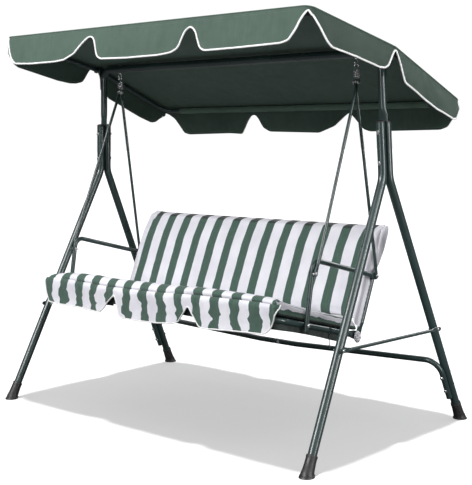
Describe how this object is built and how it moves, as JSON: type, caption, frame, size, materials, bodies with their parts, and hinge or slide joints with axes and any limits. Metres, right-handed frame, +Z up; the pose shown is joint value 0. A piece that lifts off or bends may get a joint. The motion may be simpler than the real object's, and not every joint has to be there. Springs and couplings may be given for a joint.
{
  "type": "canopy swing bench",
  "caption": "Freestanding padded garden swing bench that hangs on coil springs under a tilting fabric canopy with a scalloped skirt, in a bent tube frame.",
  "frame": {"origin": "on the ground, in the middle between the four feet", "axes": "+Z up, the bench faces -Y, +X along the bench to the right as seen from in front"},
  "size_m": [1.686, 0.9926, 1.53],
  "materials": {
    "frame_paint": "gloss",
    "canopy_fabric": "matte",
    "stripe_fabric": "matte",
    "sling_fabric": "matte",
    "zinc_steel": "gloss",
    "black_plastic": "matte"
  },
  "bodies": {
    "stand": {"front_leg_left": "frame_paint", "front_leg_right": "frame_paint", "rear_leg_left": "frame_paint", "rear_leg_right": "frame_paint", "foot_cap_front_left": "black_plastic", "foot_cap_front_right": "black_plastic", "foot_cap_rear_left": "black_plastic", "foot_cap_rear_right": "black_plastic", "leg_plug_left": "black_plastic", "leg_plug_right": "black_plastic", "upright_left": "frame_paint", "upright_right": "frame_paint", "top_beam": "frame_paint", "side_brace_left": "frame_paint", "side_brace_right": "frame_paint", "rear_brace_left": "frame_paint", "rear_brace_right": "frame_paint", "rear_brace_joint_bolt": "zinc_steel", "rear_brace_bolt_lower_left": "zinc_steel", "rear_brace_bolt_lower_right": "zinc_steel", "rear_brace_bolt_upper_left": "zinc_steel", "rear_brace_bolt_upper_right": "zinc_steel", "leg_bolt_lower_left": "zinc_steel", "leg_bolt_lower_right": "zinc_steel", "leg_bolt_upper_left": "zinc_steel", "leg_bolt_upper_right": "zinc_steel", "eye_bolt_left": "zinc_steel", "eye_bolt_right": "zinc_steel"},
    "canopy": {"canopy_fabric": "canopy_fabric", "canopy_arm_left": "frame_paint", "canopy_arm_right": "frame_paint", "canopy_bar_front": "frame_paint", "canopy_bar_rear": "frame_paint", "tilt_knob_left": "black_plastic", "tilt_knob_right": "black_plastic"},
    "left_spring": {"spring_left": "zinc_steel"},
    "right_spring": {"spring_right": "zinc_steel"},
    "left_hanger": {"hanger_bolt_left": "zinc_steel"},
    "right_hanger": {"hanger_bolt_right": "zinc_steel"},
    "bench": {"hanger_rod_front_left": "frame_paint", "hanger_rod_front_right": "frame_paint", "hanger_rod_rear_left": "frame_paint", "hanger_rod_rear_right": "frame_paint", "rod_bolt_front_left": "zinc_steel", "rod_bolt_front_right": "zinc_steel", "rod_bolt_rear_left": "zinc_steel", "rod_bolt_rear_right": "zinc_steel", "armrest_left": "frame_paint", "armrest_right": "frame_paint", "post_bolt_left": "zinc_steel", "post_bolt_right": "zinc_steel", "corner_bolt_left": "zinc_steel", "corner_bolt_right": "zinc_steel", "seat_frame": "frame_paint", "seat_rear_rail": "frame_paint", "back_frame": "frame_paint", "seat_sling": "sling_fabric", "seat_cushion": "stripe_fabric", "back_cushion": "stripe_fabric"}
  },
  "joints": [
    {"name": "canopy_tilt", "type": "hinge", "parent": "stand", "child": "canopy", "pos_m": [0, 0.044, 1.4], "axis": [1, 0, 0], "range_deg": [-15, 20]},
    {"name": "seat_swing", "type": "hinge", "parent": "stand", "child": "left_spring", "pos_m": [-0.644, 0.044, 1.3665], "axis": [1, 0, 0], "range_deg": [-25, 25]},
    {"name": "spring_stretch", "type": "slide", "parent": "left_spring", "child": "left_hanger", "axis": [0, 0, -1], "range_m": [0, 0.02], "stiffness_N_per_m": 8000, "springref_m": -0.02, "deforming": ["spring_left"]},
    {"name": "seat_pitch", "type": "hinge", "parent": "left_hanger", "child": "bench", "pos_m": [-0.644, 0.044, 1.3], "axis": [1, 0, 0], "range_deg": [-10, 10]},
    {"name": "seat_swing_right", "type": "hinge", "parent": "stand", "child": "right_spring", "pos_m": [0.644, 0.044, 1.3665], "axis": [1, 0, 0], "range_deg": [-25, 25]},
    {"name": "spring_stretch_right", "type": "slide", "parent": "right_spring", "child": "right_hanger", "axis": [0, 0, -1], "range_m": [0, 0.02], "deforming": ["spring_right"]}
  ],
  "couplings": [
    {"joint": "seat_swing_right", "follows": "seat_swing", "ratio": 1},
    {"joint": "spring_stretch_right", "follows": "spring_stretch", "ratio": 1}
  ]
}
